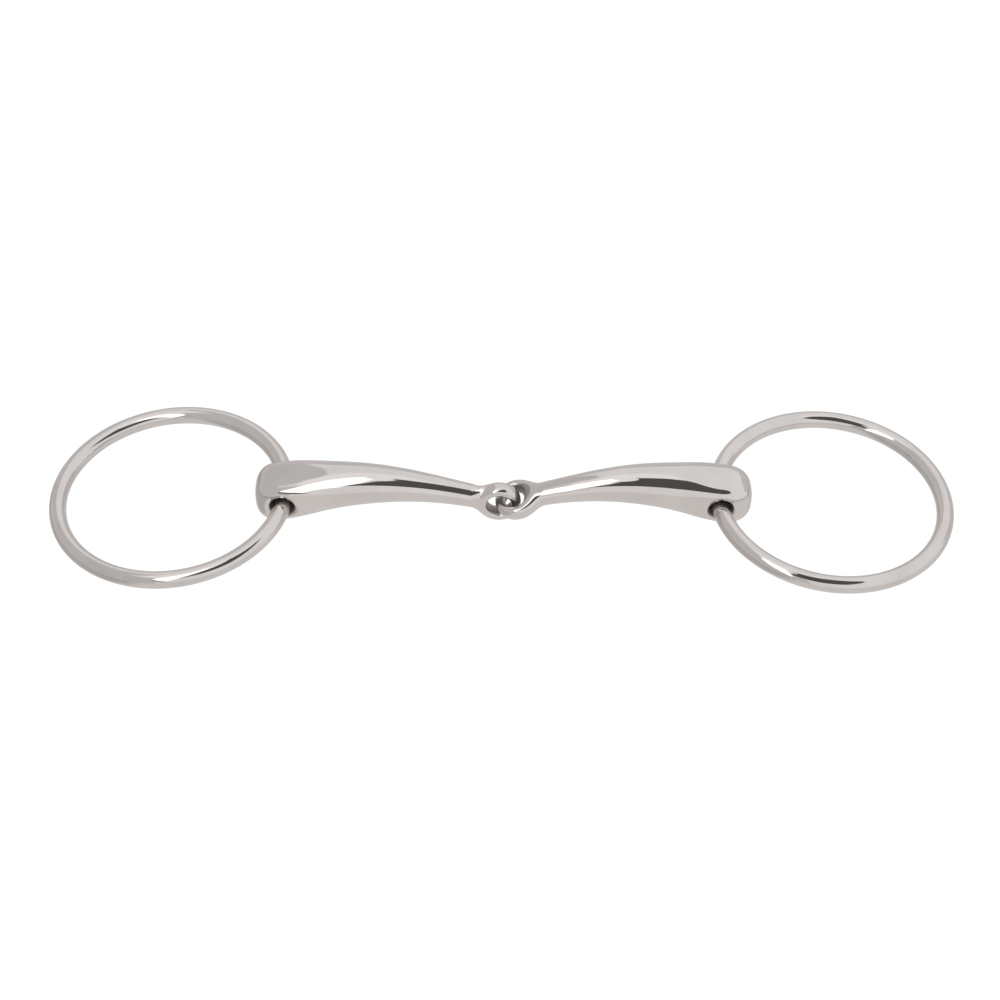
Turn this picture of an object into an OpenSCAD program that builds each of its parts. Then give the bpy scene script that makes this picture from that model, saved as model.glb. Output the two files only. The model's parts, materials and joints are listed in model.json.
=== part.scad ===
// Loose-ring snaffle bit: two curved cannons linked eye through eye at the
// middle, each with a plain drilled hole that a loose ring runs through.
// X runs along the mouthpiece, Y along the ring holes, Z is up, and the bit
// lies on the plane Z = 0. All sizes are in millimetres.

/* [Rings] */
// Outside diameter of each loose ring
ring_od = 75.9; // [66:0.1:90]
// Diameter of the round wire that a ring is bent from
wire_d = 5.3; // [4.5:0.1:5.6]

/* [Mouthpiece] */
// Distance between the two ring holes, centre to centre
hole_spacing = 134.2; // [120:0.1:150]
// Width of a cannon across its ring hole, face to face
end_w = 16; // [14:0.5:20]
// Height of a cannon at its ring hole
end_h = 15; // [14:0.5:20]
// Reach of the left cannon's rounded end past its ring hole
left_end = 8.6; // [8:0.1:12]
// Reach of the right cannon's rounded end past its ring hole
right_end = 9.8; // [8:0.1:12]
// Thickness that a cannon tapers to at the joint
neck_d = 7; // [6:0.1:8]
// Height of the arch of each cannon
arch = 5.3; // [0:0.1:8]
// Squareness of a cannon at its ring hole, where 2 is an ellipse
end_square = 3.4; // [2:0.1:5]

/* [Ring holes] */
// Diameter of a ring hole at its throat
throat_d = 7.2; // [7.1:0.1:7.6]
// Radius that rounds each mouth of a ring hole
mouth_round = 2; // [1:0.1:3]

/* [Joint] */
// Mean diameter of each link eye
eye_d = 10.6; // [10.4:0.1:12]
// Thickness of an eye's bar, measured in the plane of the eye
bar_w = 3; // [2:0.1:3]
// Depth of an eye's bar, measured along the hole of the eye
bar_h = 4.8; // [4:0.1:4.8]
// Distance between the middles of the two linked eyes
link_gap = 5.6; // [5.2:0.1:5.8]
// Distance of the joint to the right of the middle
joint_x = 2; // [0:0.5:3]
// Distance that each cannon leans forwards from its ring hole to the joint
joint_lean = 3.1; // [0:0.1:4]
// Sideways play that the left cannon takes forwards and the right one back
side_play = 0.1; // [0:0.1:0.3]
// Turn of the lying eye about the mouthpiece, with its far side up
lying_turn = 6; // [0:1:8]
// Slope of the lying eye, down towards the joint
lying_slope = 13; // [8:1:14]
// Height of the lying eye's middle above the upright eye's middle
lying_rise = 0.5; // [0.2:0.1:0.7]
// Height of the neck's middle line above the lying eye's middle
lying_set = 0.4; // [0:0.1:0.6]

/* [Hidden] */
wire_r = wire_d / 2;
ring_r = (ring_od - wire_d) / 2;
hole_x = hole_spacing / 2;
hole_z = end_h / 2;
throat_r = throat_d / 2;
neck_r = neck_d / 2;
eye_r = eye_d / 2;
left_reach = hole_x + joint_x - link_gap / 2;
right_reach = hole_x - joint_x - link_gap / 2;
// The wire hangs this far to the inner side of its hole
ring_inset = 0.65;
// Each ring leans from its hole down to the ground at its outer edge
ring_lean = asin((hole_z - wire_r) / (2 * ring_r - ring_inset));

// Shape of a cannon along its length, where 0 is the ring hole and 1 the eye
arch_skew = 0.05;
height_skew = 0.1;
square_run = 0.16;
cap_power = 2.8;
start_set = 0.03;
start_blend = 0.06;
flare_start = 0.87;
flare_grow = 0.8;
// The left cannon ends inside the bar of its eye, and the right one past it
tip_gap = 0.5;
tip_h = 4;
lying_tip_gap = 3;
lying_tip_h = 5.2;
bar_power = 3;

// Mesh steps of a cannon
cap_steps = 8;
body_steps = 24;
flare_steps = 5;
sides = 28;
mouth_steps = 5;

$fn = 96;

function mix(a, b, t) = a + (b - a) * t;
function clamp01(t) = max(0, min(1, t));
function ease(t) = let (c = clamp01(t)) c * c * (3 - 2 * c);
function signed_pow(v, p) = sign(v) * pow(abs(v), p);

// One point of a superellipse with half sizes a and b, at angle t
function super_point(a, b, n, t) = [
    a * signed_pow(cos(t), 2 / n),
    b * signed_pow(sin(t), 2 / n)
];

// The upright eye stands on the ground, and the lying eye slopes down into it
function eye_z(upright) = eye_r + bar_w / 2 + (upright ? 0 : lying_rise);

function skewed(u, skew) = u + skew * u * (1 - u);

// Share of the taper that is left at u
function taper(u, skew) = (1 + cos(180 * skewed(u, skew))) / 2;
function half_size(end_size, u, skew) = mix(neck_r, end_size / 2, taper(u, skew));

// Share of the way to the eye, levelling out smoothly in the rounded end
function way(u) = let (w = u + start_set)
    (w + sqrt(w * w + start_blend * start_blend)) / 2 - start_set;
function square_at(u) = mix(2, end_square, exp(-pow(way(u) / square_run, 2)));
function centre_y(u) = -joint_lean * way(u);
function neck_z(upright) = eye_z(upright) + (upright ? 0 : lying_set);
function centre_z(u, upright) = let (v = way(u))
    mix(hole_z, neck_z(upright), v) + arch * sin(180 * skewed(v, arch_skew));
function flare(u, tip) = ease((u - flare_start) / (tip - flare_start));

// Rounding of the end: the share of the full section that is left at d
function cap_scale(d, end) = d >= 0 ? 1
    : pow(1 - pow(min(1, -d / end), cap_power), 1 / cap_power);

// Distances from the ring hole to each section, from the end to the eye
function stations(end, tip) = concat(
    [for (i = [1 : cap_steps]) -end * cos(90 * i / cap_steps)],
    [for (i = [1 : body_steps]) tip * flare_start * i / body_steps],
    [for (i = [1 : flare_steps]) tip * mix(flare_start, 1, i / flare_steps)]
);

// One section of a cannon at distance d, widening in the plane of its eye
function section(d, end, reach, tip, upright) = let (
    u = d / reach,
    s = cap_scale(d, end),
    f = flare(u, tip / reach),
    wide = half_size(end_w, u, 0) * s,
    high = half_size(end_h, u, height_skew) * s,
    in_plane = (upright ? high : wide) + flare_grow * f,
    across = mix(upright ? wide : high, (upright ? tip_h : lying_tip_h) / 2, f),
    turn = upright ? 90 : lying_turn * f,
    n = square_at(u)
) [for (k = [0 : sides - 1])
    let (p = super_point(in_plane, across, n, 360 * k / sides)) [
        d,
        centre_y(u) + p[0] * cos(turn) - p[1] * sin(turn),
        centre_z(u, upright) + p[0] * sin(turn) + p[1] * cos(turn)
    ]];

// Triangles between neighbouring sections, and fans to the two end points
function wall_faces(rows) = [
    for (j = [0 : rows - 2], k = [0 : sides - 1])
        let (a = j * sides + k, b = j * sides + (k + 1) % sides)
            each [[a, a + sides, b], [b, a + sides, b + sides]]
];
function fan_faces(row, apex, first) = [
    for (k = [0 : sides - 1])
        let (a = row * sides + k, b = row * sides + (k + 1) % sides)
            first ? [apex, a, b] : [apex, b, a]
];

module cannon_body(end, reach, upright) {
    tip = reach - eye_r + (upright ? tip_gap : lying_tip_gap);
    places = stations(end, tip);
    rows = len(places);
    skin = [for (d = places) each section(d, end, reach, tip, upright)];
    ends = [
        [-end, 0, hole_z],
        [tip, centre_y(tip / reach), centre_z(tip / reach, upright)]
    ];
    count = len(skin);
    polyhedron(
        points = concat(skin, ends),
        faces = concat(
            wall_faces(rows),
            fan_faces(0, count, true),
            fan_faces(rows - 1, count + 1, false)
        )
    );
}

// Closed eye about Z, with a rounded bar
module eye() {
    bar = [for (k = [0 : 19]) super_point(bar_w / 2, bar_h / 2, bar_power, 18 * k)];
    rotate_extrude()
        translate([eye_r, 0])
            polygon(bar);
}

// Radius of the ring hole at distance y from the middle of the cannon
function mouth_radius(y) = let (into = clamp01((y - end_w / 2) / mouth_round + 1))
    throat_r + mouth_round * (1 - sqrt(1 - pow(into, 2)));

module ring_hole() {
    flat = end_w / 2 - mouth_round;
    half = [
        for (i = [0 : mouth_steps])
            let (y = mix(flat, end_w / 2, sin(90 * i / mouth_steps)))
                [mouth_radius(y), y]
    ];
    outer = [[throat_r + mouth_round, end_w]];
    upper = concat(half, outer);
    count = len(upper);
    lower = [for (i = [0 : count - 1]) let (p = upper[count - 1 - i]) [p[0], -p[1]]];
    rotate([90, 0, 0])
        rotate_extrude()
            polygon(concat([[0, -end_w]], lower, upper, [[0, end_w]]));
}

// A cannon with its end at X = -end, its ring hole at X = 0 and its eye at X = reach
module cannon(end, reach, upright) {
    difference() {
        union() {
            cannon_body(end, reach, upright);
            translate([reach, -joint_lean, eye_z(upright)])
                rotate(upright ? [90, 0, 0] : [lying_turn, lying_slope, 0])
                    eye();
        }
        translate([0, 0, hole_z])
            ring_hole();
    }
}

// A ring that hangs outwards from a hole at X = 0
module ring() {
    translate([0, 0, hole_z])
        rotate([0, ring_lean, 0])
            translate([ring_r - ring_inset, 0, 0])
                rotate_extrude()
                    translate([ring_r, 0])
                        circle(d = wire_d, $fn = 48);
}

module left_ring() {
    color("silver")
        translate([-hole_x, 0, 0])
            mirror([1, 0, 0])
                ring();
}

module right_ring() {
    color("silver")
        translate([hole_x, 0, 0])
            ring();
}

module left_cannon() {
    color("gainsboro")
        translate([-hole_x, -side_play, 0])
            cannon(left_end, left_reach, true);
}

module right_cannon() {
    color("gainsboro")
        translate([hole_x, side_play, 0])
            mirror([1, 0, 0])
                cannon(right_end, right_reach, false);
}

left_ring();
right_ring();
left_cannon();
right_cannon();
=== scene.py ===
"""Looks of the loose-ring snaffle bit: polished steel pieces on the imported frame."""

import json
import math

import bmesh
import bpy
import numpy as np
from mathutils import Matrix, Vector


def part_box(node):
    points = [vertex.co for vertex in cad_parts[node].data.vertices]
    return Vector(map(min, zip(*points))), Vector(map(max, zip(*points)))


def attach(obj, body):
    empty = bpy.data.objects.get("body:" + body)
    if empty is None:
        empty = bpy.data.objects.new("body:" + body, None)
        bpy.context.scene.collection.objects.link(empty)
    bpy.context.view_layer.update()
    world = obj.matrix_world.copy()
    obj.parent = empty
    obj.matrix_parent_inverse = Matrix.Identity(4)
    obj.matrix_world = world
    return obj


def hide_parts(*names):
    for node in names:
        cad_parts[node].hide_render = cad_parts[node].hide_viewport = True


MM = 0.001

# Rings, in millimetres
WIRE_R = 2.65
RING_R = 35.3
RING_INSET = 0.65
RING_STEPS = 320
WIRE_STEPS = 56
# Unevenness of the polish: depth, and waves along the ring, round the wire and in twist
RING_WAVE = 0.006
WAVES_ALONG = 9
WAVES_ROUND = 2
WAVES_TWIST = 3
# Ground weld: where it starts round the ring, how it fades and tilts, and its depth
WELD_TURN = 5.0
WELD_FADE = 0.07
WELD_TILT = 0.3
WELD_DEPTH = 0.03

# Cannons, in millimetres
END_W = 16.0
END_H = 15.0
NECK_R = 3.5
ARCH = 5.3
ARCH_SKEW = 0.05
HEIGHT_SKEW = 0.1
END_SQUARE = 3.4
SQUARE_RUN = 0.16
CAP_POWER = 2.8
START_SET = 0.03
START_BLEND = 0.06
FIRST_SHARE = -0.2
JOINT_LEAN = 3.1
SIDE_PLAY = 0.1
HOLE_R = 3.6
HOLE_ROUNDING = 2.4
FLARE_START = 0.87
FLARE_GROW = 0.8
TIP_GAP = 0.5
TIP_H = 4.0
LYING_TIP_GAP = 3.0
LYING_TIP_H = 5.2
TIP_ROUNDING = 1.4
# Unevenness of the polish: depth, and for each wave its share and its two sines, as
# what they take of x, y and z and where they start
POLISH_WAVE = 0.008
POLISH_WAVES = (
    (1.0, (0.83, 0.3, 0.0, 0.0), (0.0, -0.6, 0.71, 0.9)),
    (0.5, (0.4, 1.7, 0.0, 1.1), (-0.2, 0.0, 1.3, 0.0)),
)

# Eyes of the link, in millimetres
EYE_R = 5.3
BAR_W = 3.0
BAR_H = 4.8
BAR_POWER = 3.0
BAR_OUTER_POWER = 2.2
EYE_FILLET = 2.6
LYING_TURN = 6.0
LYING_SLOPE = 13.0
LYING_SET = 0.4
LYING_RISE = 0.5
LINK_GAP = 5.6

# Mesh of a cannon: grid step in millimetres, spare cells round it, and rounds of fairing
GRID = 0.36
SPARE_CELLS = 3
SETTLE_ROUNDS = 2
RELAX_ROUNDS = 3
SLOPE_STEP = 0.02
TINY = 1e-6

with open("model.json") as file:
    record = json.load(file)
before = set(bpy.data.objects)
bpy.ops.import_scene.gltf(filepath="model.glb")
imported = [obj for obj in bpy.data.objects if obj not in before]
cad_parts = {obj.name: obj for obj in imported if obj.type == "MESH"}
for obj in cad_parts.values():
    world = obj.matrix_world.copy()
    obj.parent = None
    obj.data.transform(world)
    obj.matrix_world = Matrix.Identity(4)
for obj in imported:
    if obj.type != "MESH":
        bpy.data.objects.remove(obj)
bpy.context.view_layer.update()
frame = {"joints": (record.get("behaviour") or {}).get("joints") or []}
joints = {joint["name"]: joint for joint in frame["joints"]}


# ---------------------------------------------------------------- geometry

def mix(a, b, t):
    return a + (b - a) * t


def ease(t):
    c = np.clip(t, 0.0, 1.0)
    return c * c * (3.0 - 2.0 * c)


def skewed(u, skew):
    return u + skew * u * (1.0 - u)


def taper(u, skew):
    """Share of the taper that is left at u."""
    return (1.0 + np.cos(np.pi * skewed(u, skew))) / 2.0


def smooth_min(a, b, width):
    """The lower of two distances, with a fillet where they meet."""
    h = np.maximum(width - np.abs(a - b), 0.0) / width
    return np.minimum(a, b) - h * h * width / 4.0


def super_level(parts, power):
    """One on the edge of a superellipse, given as (offset, half size) pairs."""
    return sum(np.abs(offset / half) ** power for offset, half in parts) ** (1.0 / power)


def ray_distance(offsets, level):
    """Distance from a shape, measured along the line to its middle."""
    away = np.sqrt(sum(offset * offset for offset in offsets))
    return away - away / np.maximum(level, TINY)


def turned(a, b, degrees):
    """Two coordinates, in axes turned by that angle."""
    cos, sin = np.cos(np.radians(degrees)), np.sin(np.radians(degrees))
    return a * cos + b * sin, b * cos - a * sin


def polish_wave(x, y, z):
    """The slight unevenness that hand polish leaves."""
    total = 0.0
    for share, *pair in POLISH_WAVES:
        first, second = (np.sin(a * x + b * y + c * z + start) for a, b, c, start in pair)
        total = total + share * first * second
    return POLISH_WAVE * total


class Cannon:
    """One cannon as a distance field, in millimetres, in the frame's axes."""

    def __init__(self, side, hole, eye, end, upright):
        self.side, self.hole, self.eye = side, hole, eye
        self.end, self.upright = end, upright
        self.reach = abs(eye[0] - hole[0])
        self.tip = self.reach - EYE_R + (TIP_GAP if upright else LYING_TIP_GAP)
        self.tip_half = (TIP_H if upright else LYING_TIP_H) / 2
        self.neck_z = eye[2] + (0.0 if upright else LYING_SET)

    def local(self, p):
        """Points with the ring hole at x = 0 and the eye at x = reach."""
        return (
            (p[..., 0] - self.hole[0]) * -self.side,
            p[..., 1] - self.hole[1],
            p[..., 2],
        )

    def body(self, x, y, z):
        """The shaft, from its rounded end to its tip at the eye."""
        u = np.clip(x / self.reach, FIRST_SHARE, 1.0)
        wide = mix(NECK_R, END_W / 2, taper(u, 0.0))
        high = mix(NECK_R, END_H / 2, taper(u, HEIGHT_SKEW))
        tip_share = self.tip / self.reach
        flare = ease((x / self.reach - FLARE_START) / (tip_share - FLARE_START))
        if self.upright:
            high = high + FLARE_GROW * flare
            wide = mix(wide, self.tip_half, flare)
        else:
            wide = wide + FLARE_GROW * flare
            high = mix(high, self.tip_half, flare)
        late = u + START_SET
        way = (late + np.sqrt(late * late + START_BLEND**2)) / 2 - START_SET
        arch = ARCH * np.sin(np.pi * skewed(way, ARCH_SKEW))
        dx = np.minimum(x, 0.0)
        dy = y + JOINT_LEAN * way
        dz = z - mix(self.hole[2], self.neck_z, way) - arch
        if not self.upright:
            dy, dz = turned(dy, dz, LYING_TURN * flare)
        square = mix(2.0, END_SQUARE, np.exp(-((way / SQUARE_RUN) ** 2)))
        section = super_level(((dy, wide), (dz, high)), square)
        level = super_level(((section, 1.0), (dx, self.end)), CAP_POWER)
        distance = ray_distance((dy, dz, dx), level)
        return -smooth_min(-distance, self.tip - x, TIP_ROUNDING)

    def link_eye(self, x, y, z):
        """The closed eye, with a rounded bar."""
        dx = x - self.reach
        dy = y - (self.eye[1] - self.hole[1])
        dz = z - self.eye[2]
        if self.upright:
            flat, across = dz, dy
        else:
            dx, dz = turned(dx, dz, -LYING_SLOPE)
            flat, across = turned(dy, dz, LYING_TURN)
        off = np.sqrt(dx * dx + flat * flat) - EYE_R
        power = np.where(off > 0.0, BAR_OUTER_POWER, BAR_POWER)
        level = super_level(((off, BAR_W / 2), (across, BAR_H / 2)), power)
        return ray_distance((off, across), level)

    def field(self, p):
        """Below zero inside the steel."""
        x, y, z = self.local(p)
        solid = smooth_min(self.body(x, y, z), self.link_eye(x, y, z), EYE_FILLET)
        hole = np.sqrt(x * x + (z - self.hole[2]) ** 2) - HOLE_R
        return polish_wave(x, y, z) - smooth_min(-solid, hole, HOLE_ROUNDING)


def slope_of(field, points):
    """Gradient of a field, by central differences."""
    slope = np.empty_like(points)
    for axis in range(3):
        shift = np.zeros(3)
        shift[axis] = SLOPE_STEP
        rise = field(points + shift) - field(points - shift)
        slope[:, axis] = rise / (2 * SLOPE_STEP)
    return slope


def settle(field, points):
    """Moves points onto the surface where the field is zero."""
    for _ in range(SETTLE_ROUNDS):
        slope = slope_of(field, points)
        square = np.maximum((slope * slope).sum(axis=1), TINY)
        points = points - (field(points) / square)[:, None] * slope
    return points


def averages(places, values, size):
    """The average of the values at each place."""
    count = np.bincount(places, minlength=size)
    sums = [np.bincount(places, values[:, axis], size) for axis in range(3)]
    return np.stack(sums, axis=1) / np.maximum(count, 1)[:, None]


def relaxed(points, faces):
    """Each point at the average of its neighbours."""
    after = np.roll(faces, -1, axis=1)
    here = np.concatenate((faces.ravel(), after.ravel()))
    there = np.concatenate((after.ravel(), faces.ravel()))
    return averages(here, points[there], len(points))


def surface_nets(field, low, high, step):
    """Vertices and quads of the surface where the field is zero."""
    counts = [int(math.ceil((high[i] - low[i]) / step)) + 1 for i in range(3)]
    ticks = [low[i] + step * np.arange(counts[i]) for i in range(3)]
    value = field(np.stack(np.meshgrid(*ticks, indexing="ij"), axis=-1))
    cells = tuple(n - 1 for n in counts)
    places, crossings, quads = [], [], []
    for axis in range(3):
        across, up = (axis + 1) % 3, (axis + 2) % 3
        here = [slice(None)] * 3
        there = [slice(None)] * 3
        here[axis], there[axis] = slice(0, -1), slice(1, None)
        crossing = np.argwhere((value[tuple(here)] < 0) != (value[tuple(there)] < 0))
        ahead = crossing.copy()
        ahead[:, axis] += 1
        start = value[tuple(crossing.T)]
        share = start / (start - value[tuple(ahead.T)])
        point = np.array(low) + step * crossing
        point[:, axis] += step * share
        # The four cells round an edge that the surface crosses share one quad
        ring = []
        for back_across, back_up in ((1, 1), (0, 1), (0, 0), (1, 0)):
            cell = crossing.copy()
            cell[:, across] -= back_across
            cell[:, up] -= back_up
            ring.append(np.ravel_multi_index(tuple(cell.T), cells))
        ring = np.stack(ring, axis=1)
        places.append(ring.ravel())
        crossings.append(np.repeat(point, 4, axis=0))
        quads.append(np.where((start < 0)[:, None], ring, ring[:, ::-1]))
    used, faces = np.unique(np.concatenate(quads), return_inverse=True)
    places = np.searchsorted(used, np.concatenate(places))
    points = averages(places, np.concatenate(crossings), len(used))
    return points, faces.reshape(-1, 4)


def add_object(name, data):
    made = bpy.data.objects.new(name, data)
    bpy.context.scene.collection.objects.link(made)
    return made


def add_shape(name, shape):
    """An object from a bmesh, which is freed."""
    mesh = bpy.data.meshes.new(name)
    shape.to_mesh(mesh)
    shape.free()
    return add_object(name, mesh)


def cannon_piece(name, cannon, box):
    """The cannon's mesh, with the normals of its true surface."""
    margin = SPARE_CELLS * GRID
    low = [c / MM - margin for c in box[0]]
    high = [c / MM + margin for c in box[1]]
    points, faces = surface_nets(cannon.field, low, high, GRID)
    points = settle(cannon.field, points)
    for _ in range(RELAX_ROUNDS):
        points = settle(cannon.field, relaxed(points, faces))
    normals = slope_of(cannon.field, points)
    normals /= np.linalg.norm(normals, axis=1)[:, None]
    mesh = bpy.data.meshes.new(name)
    mesh.from_pydata((points * MM).tolist(), [], faces.tolist())
    mesh.polygons.foreach_set("use_smooth", [True] * len(mesh.polygons))
    mesh.normals_split_custom_set_from_vertices(normals.tolist())
    return add_object(name, mesh)


def ring_piece(name, side, hole):
    """A loose ring of round wire, leaning down from its hole to the surface."""
    lean = math.asin((hole[2] - WIRE_R) / (2 * RING_R - RING_INSET))
    out = Vector((side * math.cos(lean), 0.0, -math.sin(lean)))
    along = Vector((0.0, 1.0, 0.0))
    up = out.cross(along) * side
    middle = Vector(hole) + out * (RING_R - RING_INSET)
    shape = bmesh.new()
    rows = []
    for i in range(RING_STEPS):
        turn = math.tau * i / RING_STEPS
        radial = out * math.cos(turn) + along * math.sin(turn)
        weld = math.exp(-(((turn - WELD_TURN) % math.tau / WELD_FADE) ** 2))
        ripple = RING_WAVE * math.sin(WAVES_ALONG * turn + side)
        row = []
        for k in range(WIRE_STEPS):
            angle = math.tau * k / WIRE_STEPS
            normal = radial * math.cos(angle) + up * math.sin(angle)
            ground = WELD_DEPTH * weld * math.cos(angle - WELD_TILT) ** 2
            thin = ground + ripple * math.sin(WAVES_ROUND * angle + WAVES_TWIST * turn)
            spot = middle + radial * RING_R + normal * (WIRE_R - thin)
            row.append(shape.verts.new(spot * MM))
        rows.append(row)
    for row, after in zip(rows, rows[1:] + rows[:1]):
        for k in range(WIRE_STEPS):
            k2 = (k + 1) % WIRE_STEPS
            face = shape.faces.new((row[k], after[k], after[k2], row[k2]))
            face.smooth = True
    bmesh.ops.recalc_face_normals(shape, faces=shape.faces)
    return add_shape(name, shape)


# --------------------------------------------------------------- materials

# Darkest and lightest tone, and range of the roughness
RING_TONES = ((0.64, 0.61, 0.592), (0.69, 0.66, 0.64))
RING_ROUGHNESS = (0.04, 0.10)
CANNON_TONES = ((0.645, 0.615, 0.597), (0.69, 0.66, 0.643))
CANNON_ROUGHNESS = (0.03, 0.08)

# Noise of the tones, the haze and the polishing lines: scale and detail
TONE_NOISE = (90.0, 3.0)
HAZE_NOISE = (260.0, 4.0)
LINE_NOISE = (900.0, 2.0)
TONE_SPREAD = (0.35, 0.65)
HAZE_SPREAD = (0.3, 0.7)
# Stretch of the polishing lines, which run along a cannon and all ways on a ring
RING_LINES = (1.0, 1.0, 1.0)
CANNON_LINES = (0.2, 1.0, 1.0)
LINE_STRENGTH = 0.02
LINE_DEPTH = 0.0001

# Bores: their dull steel with painted shade, and in metres the radius that it fills and its
# fade
BORE_PAINTED_SHADE = (0.31, 0.285, 0.26)
BORE_ROUGHNESS = 0.34
BORE_METALLIC = 0.35
HOLE_MASK = (0.0036, 0.0008)
EYE_MASK = (0.0037, 0.0005)
# Axes across a bore that runs along Y, and one along Z
ACROSS_Y = (1.0, 0.0, 1.0)
ACROSS_Z = (1.0, 1.0, 0.0)

# Sockets of a Mix node by its data type: below, above and result
MIX_SOCKETS = {"FLOAT": (2, 3, 0), "RGBA": (6, 7, 2)}


def node(tree, kind, **inputs):
    made = tree.nodes.new(kind)
    for key, value in inputs.items():
        made.inputs[key.replace("_", " ")].default_value = value
    return made


def feed(tree, source, socket):
    """Links a socket to its source, or sets it to a number or a colour."""
    if isinstance(source, bpy.types.NodeSocket):
        tree.links.new(source, socket)
    elif isinstance(source, tuple):
        socket.default_value = (*source, 1.0)
    else:
        socket.default_value = source


def laid_over(tree, below, above, share, kind="RGBA"):
    """One colour or number laid over another, by a share."""
    made = tree.nodes.new("ShaderNodeMix")
    made.data_type = kind
    low, high, result = MIX_SOCKETS[kind]
    feed(tree, below, made.inputs[low])
    feed(tree, above, made.inputs[high])
    tree.links.new(share, made.inputs[0])
    return made.outputs[result]


def smooth_step(tree, source, start, stop, at_start=0.0, at_stop=1.0):
    """A value that changes smoothly while its source goes from start to stop."""
    made = node(
        tree, "ShaderNodeMapRange",
        From_Min=start, From_Max=stop, To_Min=at_start, To_Max=at_stop,
    )
    made.interpolation_type = "SMOOTHSTEP"
    tree.links.new(source, made.inputs["Value"])
    return made.outputs["Result"]


def noise_at(tree, place, noise, stretch=(1.0, 1.0, 1.0)):
    """Noise over the surface, with its grain stretched along some axes."""
    scale, detail = noise
    mapping = tree.nodes.new("ShaderNodeMapping")
    mapping.inputs["Scale"].default_value = stretch
    tree.links.new(place.outputs["Object"], mapping.inputs["Vector"])
    made = node(tree, "ShaderNodeTexNoise", Scale=scale, Detail=detail)
    tree.links.new(mapping.outputs["Vector"], made.inputs["Vector"])
    return made.outputs["Fac"]


def spread(tree, source, low, high):
    """A value from noise, kept between low and high."""
    start, stop = HAZE_SPREAD
    made = node(
        tree, "ShaderNodeMapRange",
        From_Min=start, From_Max=stop, To_Min=low, To_Max=high,
    )
    tree.links.new(source, made.inputs["Value"])
    return made.outputs["Result"]


def vector_math(tree, operation, source, value=None):
    made = tree.nodes.new("ShaderNodeVectorMath")
    made.operation = operation
    tree.links.new(source, made.inputs[0])
    if value is not None:
        made.inputs[1].default_value = value
    return made


def inside_bore(tree, place, centre, across, radius, fade):
    """One inside a round bore, and zero past the fade round it."""
    away = vector_math(tree, "SUBTRACT", place.outputs["Object"], centre)
    flat = vector_math(tree, "MULTIPLY", away.outputs["Vector"], across)
    length = vector_math(tree, "LENGTH", flat.outputs["Vector"])
    return smooth_step(tree, length.outputs["Value"], radius, radius + fade, 1.0, 0.0)


def steel(name, tones, roughness, lines, bores=()):
    """Polished stainless steel: tone changes, hazy spots and fine polishing lines.

    The inside of a bore is dull, and painted shade darkens its colour.
    """
    material = bpy.data.materials.new(name)
    material.use_nodes = True
    tree = material.node_tree
    shader = tree.nodes["Principled BSDF"]
    place = tree.nodes.new("ShaderNodeTexCoord")

    ramp = tree.nodes.new("ShaderNodeValToRGB")
    for element, position, tone in zip(ramp.color_ramp.elements, TONE_SPREAD, tones):
        element.position = position
        element.color = (*tone, 1.0)
    tree.links.new(noise_at(tree, place, TONE_NOISE), ramp.inputs["Fac"])
    colour = ramp.outputs["Color"]
    haze = spread(tree, noise_at(tree, place, HAZE_NOISE), *roughness)
    metallic = 1.0
    for bore in bores:
        shade_and_dull = inside_bore(tree, place, *bore)
        # Painted shade: the colour inside a bore is darkened
        colour = laid_over(tree, colour, BORE_PAINTED_SHADE, shade_and_dull)
        haze = laid_over(tree, haze, BORE_ROUGHNESS, shade_and_dull, "FLOAT")
        metallic = laid_over(tree, metallic, BORE_METALLIC, shade_and_dull, "FLOAT")
    feed(tree, colour, shader.inputs["Base Color"])
    feed(tree, haze, shader.inputs["Roughness"])
    feed(tree, metallic, shader.inputs["Metallic"])

    bump = node(tree, "ShaderNodeBump", Strength=LINE_STRENGTH, Distance=LINE_DEPTH)
    tree.links.new(noise_at(tree, place, LINE_NOISE, lines), bump.inputs["Height"])
    tree.links.new(bump.outputs["Normal"], shader.inputs["Normal"])
    return material


def glow(name, strength, tint):
    """A plain light-giving surface."""
    material = bpy.data.materials.new(name)
    material.use_nodes = True
    tree = material.node_tree
    tree.nodes.clear()
    light = node(tree, "ShaderNodeEmission", Strength=strength, Color=(*tint, 1.0))
    out = tree.nodes.new("ShaderNodeOutputMaterial")
    tree.links.new(light.outputs["Emission"], out.inputs["Surface"])
    return material


# ------------------------------------------------------------------- stage

CAMERA_DISTANCE = 0.84
CAMERA_ELEVATION = 46.17
CAMERA_ROLL = 0.402
CAMERA_LENS = 97.66
CAMERA_SENSOR = 36.0
CAMERA_SHIFT = (-0.0015, 0.00895)

WHITE = (1.0, 1.0, 1.0)
DIM = (1.0, 0.97, 0.95)
SWEEP_HALF = 20.0
SWEEP_Z = -0.2
SWEEP_STRENGTH = 1.05

# Panels: corners as azimuth from the camera's side and elevation, distance, strength
# and tint. The dark ones stand in front of the softbox.
SOFTBOX_DISTANCE = 0.486
DARK_DISTANCE = 0.98 * SOFTBOX_DISTANCE
PANEL_STEPS = 10
PANELS = {
    "softbox": (
        [(-39, 41), (-18, 16.5), (-12, 78), (-74, 85)],
        SOFTBOX_DISTANCE, 1.81, WHITE,
    ),
    "opening": (
        [(-17.6, 42.3), (37.2, 39), (106.6, 66.6), (50.4, 85.2), (-4.7, 66.4)],
        DARK_DISTANCE, 0.10, DIM,
    ),
    "sill": (
        [(-39.5, 39.8), (-20, 12), (-14, 12), (-18, 17.5), (-39, 41)],
        DARK_DISTANCE, 0.12, DIM,
    ),
}

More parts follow.
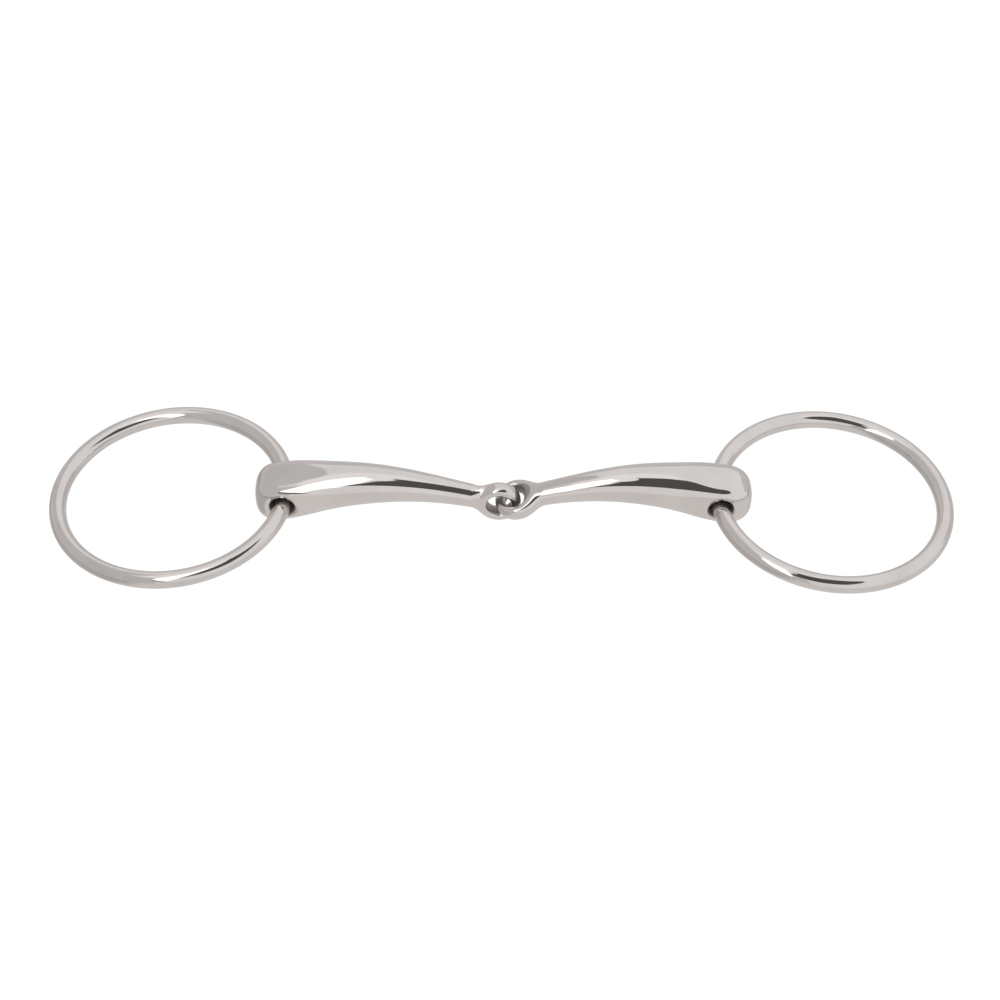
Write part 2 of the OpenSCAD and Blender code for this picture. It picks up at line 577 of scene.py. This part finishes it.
# Light of the room and its floor by direction
ROOM_LEFT = (0.66, 0.648, 0.64)
ROOM_BACK = (0.93, 0.916, 0.91)
ROOM_RIGHT = (0.945, 0.942, 0.945)
ROOM_LOW = (0.70, 0.69, 0.685)
ROOM_TOP = (1.065, 1.055, 1.05)
FLOOR_FRONT = (0.81, 0.785, 0.775)
FLOOR_BACK = (0.68, 0.67, 0.665)
FLOOR_LEFT = (0.565, 0.55, 0.54)

# Where a zone starts: axis of the direction, its value there and half of the blend,
# which is negative for a zone that lies below that value
PAST_LEFT = ("X", -0.246, 0.02)
AT_RIGHT = ("X", 0.14, 0.06)
AT_BACK = ("Y", 0.3, 0.04)
LOW_DOWN = ("Z", 0.377, -0.02)
AT_TOP = ("Z", 0.924, 0.03)
FLOOR_AT_BACK = ("Y", 0.2, 0.15)
FLOOR_AT_LEFT = ("X", -0.5, -0.15)
ON_FLOOR = ("Z", 0.0, -0.02)


def add_camera():
    data = bpy.data.cameras.new("camera")
    data.lens = CAMERA_LENS
    data.sensor_width = CAMERA_SENSOR
    data.shift_x, data.shift_y = CAMERA_SHIFT
    camera = add_object("camera", data)
    rise = math.radians(CAMERA_ELEVATION)
    back = Vector((0.0, -math.cos(rise), math.sin(rise)))
    camera.matrix_world = (
        Matrix.Translation(back * CAMERA_DISTANCE)
        @ back.to_track_quat("Z", "Y").to_matrix().to_4x4()
        @ Matrix.Rotation(math.radians(CAMERA_ROLL), 4, "Z")
    )
    bpy.context.scene.camera = camera


def toward(azimuth, elevation, distance):
    """A place round the origin. Azimuth 0 is the camera's side, 90 is +X."""
    a, e = math.radians(azimuth), math.radians(elevation)
    return Vector((
        distance * math.cos(e) * math.sin(a),
        -distance * math.cos(e) * math.cos(a),
        distance * math.sin(e),
    ))


def add_panel(name, corners, distance, strength, tint):
    """A curved studio panel inside its corners.

    The camera doesn't see it, and it lights only by its reflection.
    """
    middle = [sum(corner[c] for corner in corners) / len(corners) for c in (0, 1)]
    shape = bmesh.new()
    for first, second in zip(corners, corners[1:] + corners[:1]):
        rows = []
        for i in range(PANEL_STEPS + 1):
            row = []
            for k in range(PANEL_STEPS + 1):
                edge = [mix(first[c], second[c], k / PANEL_STEPS) for c in (0, 1)]
                place = [mix(middle[c], edge[c], i / PANEL_STEPS) for c in (0, 1)]
                row.append(shape.verts.new(toward(*place, distance)))
            rows.append(row)
        for inner, outer in zip(rows, rows[1:]):
            for k in range(PANEL_STEPS):
                shape.faces.new((inner[k], outer[k], outer[k + 1], inner[k + 1]))
    bmesh.ops.remove_doubles(shape, verts=shape.verts, dist=TINY)
    panel = add_shape(name, shape)
    panel.data.materials.append(glow(name, strength, tint))
    panel.visible_camera = False
    panel.visible_diffuse = False
    panel.visible_shadow = False


def add_floor():
    """The white sweep behind the bit, which only the camera sees.

    It lies low enough for half of the bit to fold down without touching it.
    """
    mesh = bpy.data.meshes.new("floor")
    signs = [(-1, -1), (1, -1), (1, 1), (-1, 1)]
    corners = [(SWEEP_HALF * x, SWEEP_HALF * y, 0.0) for x, y in signs]
    mesh.from_pydata(corners, [], [(0, 1, 2, 3)])
    mesh.materials.append(glow("white_sweep", SWEEP_STRENGTH, WHITE))
    floor = add_object("floor", mesh)
    floor.location.z = SWEEP_Z
    floor.visible_glossy = False
    floor.visible_diffuse = False
    floor.visible_shadow = False


def add_world():
    """A pale room: darker to the left, low down behind and on the floor."""
    world = bpy.data.worlds.new("room")
    world.use_nodes = True
    bpy.context.scene.world = world
    tree = world.node_tree
    place = tree.nodes.new("ShaderNodeTexCoord")
    split = tree.nodes.new("ShaderNodeSeparateXYZ")
    tree.links.new(place.outputs["Generated"], split.inputs["Vector"])

    def zone(axis, at, blend):
        return smooth_step(tree, split.outputs[axis], at - blend, at + blend)

    low_behind = tree.nodes.new("ShaderNodeMath")
    low_behind.operation = "MULTIPLY"
    tree.links.new(zone(*AT_BACK), low_behind.inputs[0])
    tree.links.new(zone(*LOW_DOWN), low_behind.inputs[1])

    room = laid_over(tree, ROOM_LEFT, ROOM_BACK, zone(*PAST_LEFT))
    room = laid_over(tree, room, ROOM_RIGHT, zone(*AT_RIGHT))
    room = laid_over(tree, room, ROOM_LOW, low_behind.outputs["Value"])
    room = laid_over(tree, room, ROOM_TOP, zone(*AT_TOP))
    ground = laid_over(tree, FLOOR_FRONT, FLOOR_BACK, zone(*FLOOR_AT_BACK))
    ground = laid_over(tree, ground, FLOOR_LEFT, zone(*FLOOR_AT_LEFT))
    whole = laid_over(tree, room, ground, zone(*ON_FLOOR))
    tree.links.new(whole, tree.nodes["Background"].inputs["Color"])


add_camera()
add_world()
add_floor()
for name, panel in PANELS.items():
    add_panel(name, *panel)
bpy.context.scene.view_settings.view_transform = "Standard"


# ------------------------------------------------------------------ pieces

def in_mm(point):
    return [c / MM for c in point]


def in_metres(point):
    return [c * MM for c in point]


ring_steel = steel("polished_ring_steel", RING_TONES, RING_ROUGHNESS, RING_LINES)
fold = in_mm(joints["centre_fold"]["pos_m"])
for side, hand in ((-1, "left"), (1, "right")):
    hole = in_mm(joints[f"{hand}_ring_swing"]["pos_m"])

    ring = ring_piece(f"{hand}_ring_wire", side, hole)
    ring.data.materials.append(ring_steel)
    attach(ring, f"{hand}_ring")
    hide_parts(f"{hand}_ring")

    # The left eye stands upright on the fold's axis, and the right one lies through it
    upright = hand == "left"
    eye = fold
    if not upright:
        eye = [fold[0] + LINK_GAP, fold[1] + 2 * SIDE_PLAY, fold[2] + LYING_RISE]
    hole[1] += side * SIDE_PLAY
    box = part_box(f"{hand}_cannon")
    end = max(abs(corner[0]) for corner in box) / MM - abs(hole[0])
    shape = Cannon(side, hole, eye, end, upright)
    cannon = cannon_piece(f"{hand}_cannon_forging", shape, box)
    # Bores, where the steel is dull and darkened with painted shade
    bores = (
        (in_metres(hole), ACROSS_Y, *HOLE_MASK),
        (in_metres(eye), ACROSS_Y if upright else ACROSS_Z, *EYE_MASK),
    )
    cannon.data.materials.append(steel(
        f"polished_{hand}_cannon_steel", CANNON_TONES, CANNON_ROUGHNESS, CANNON_LINES, bores
    ))
    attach(cannon, f"{hand}_cannon")
    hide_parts(f"{hand}_cannon")

bpy.context.view_layer.update()
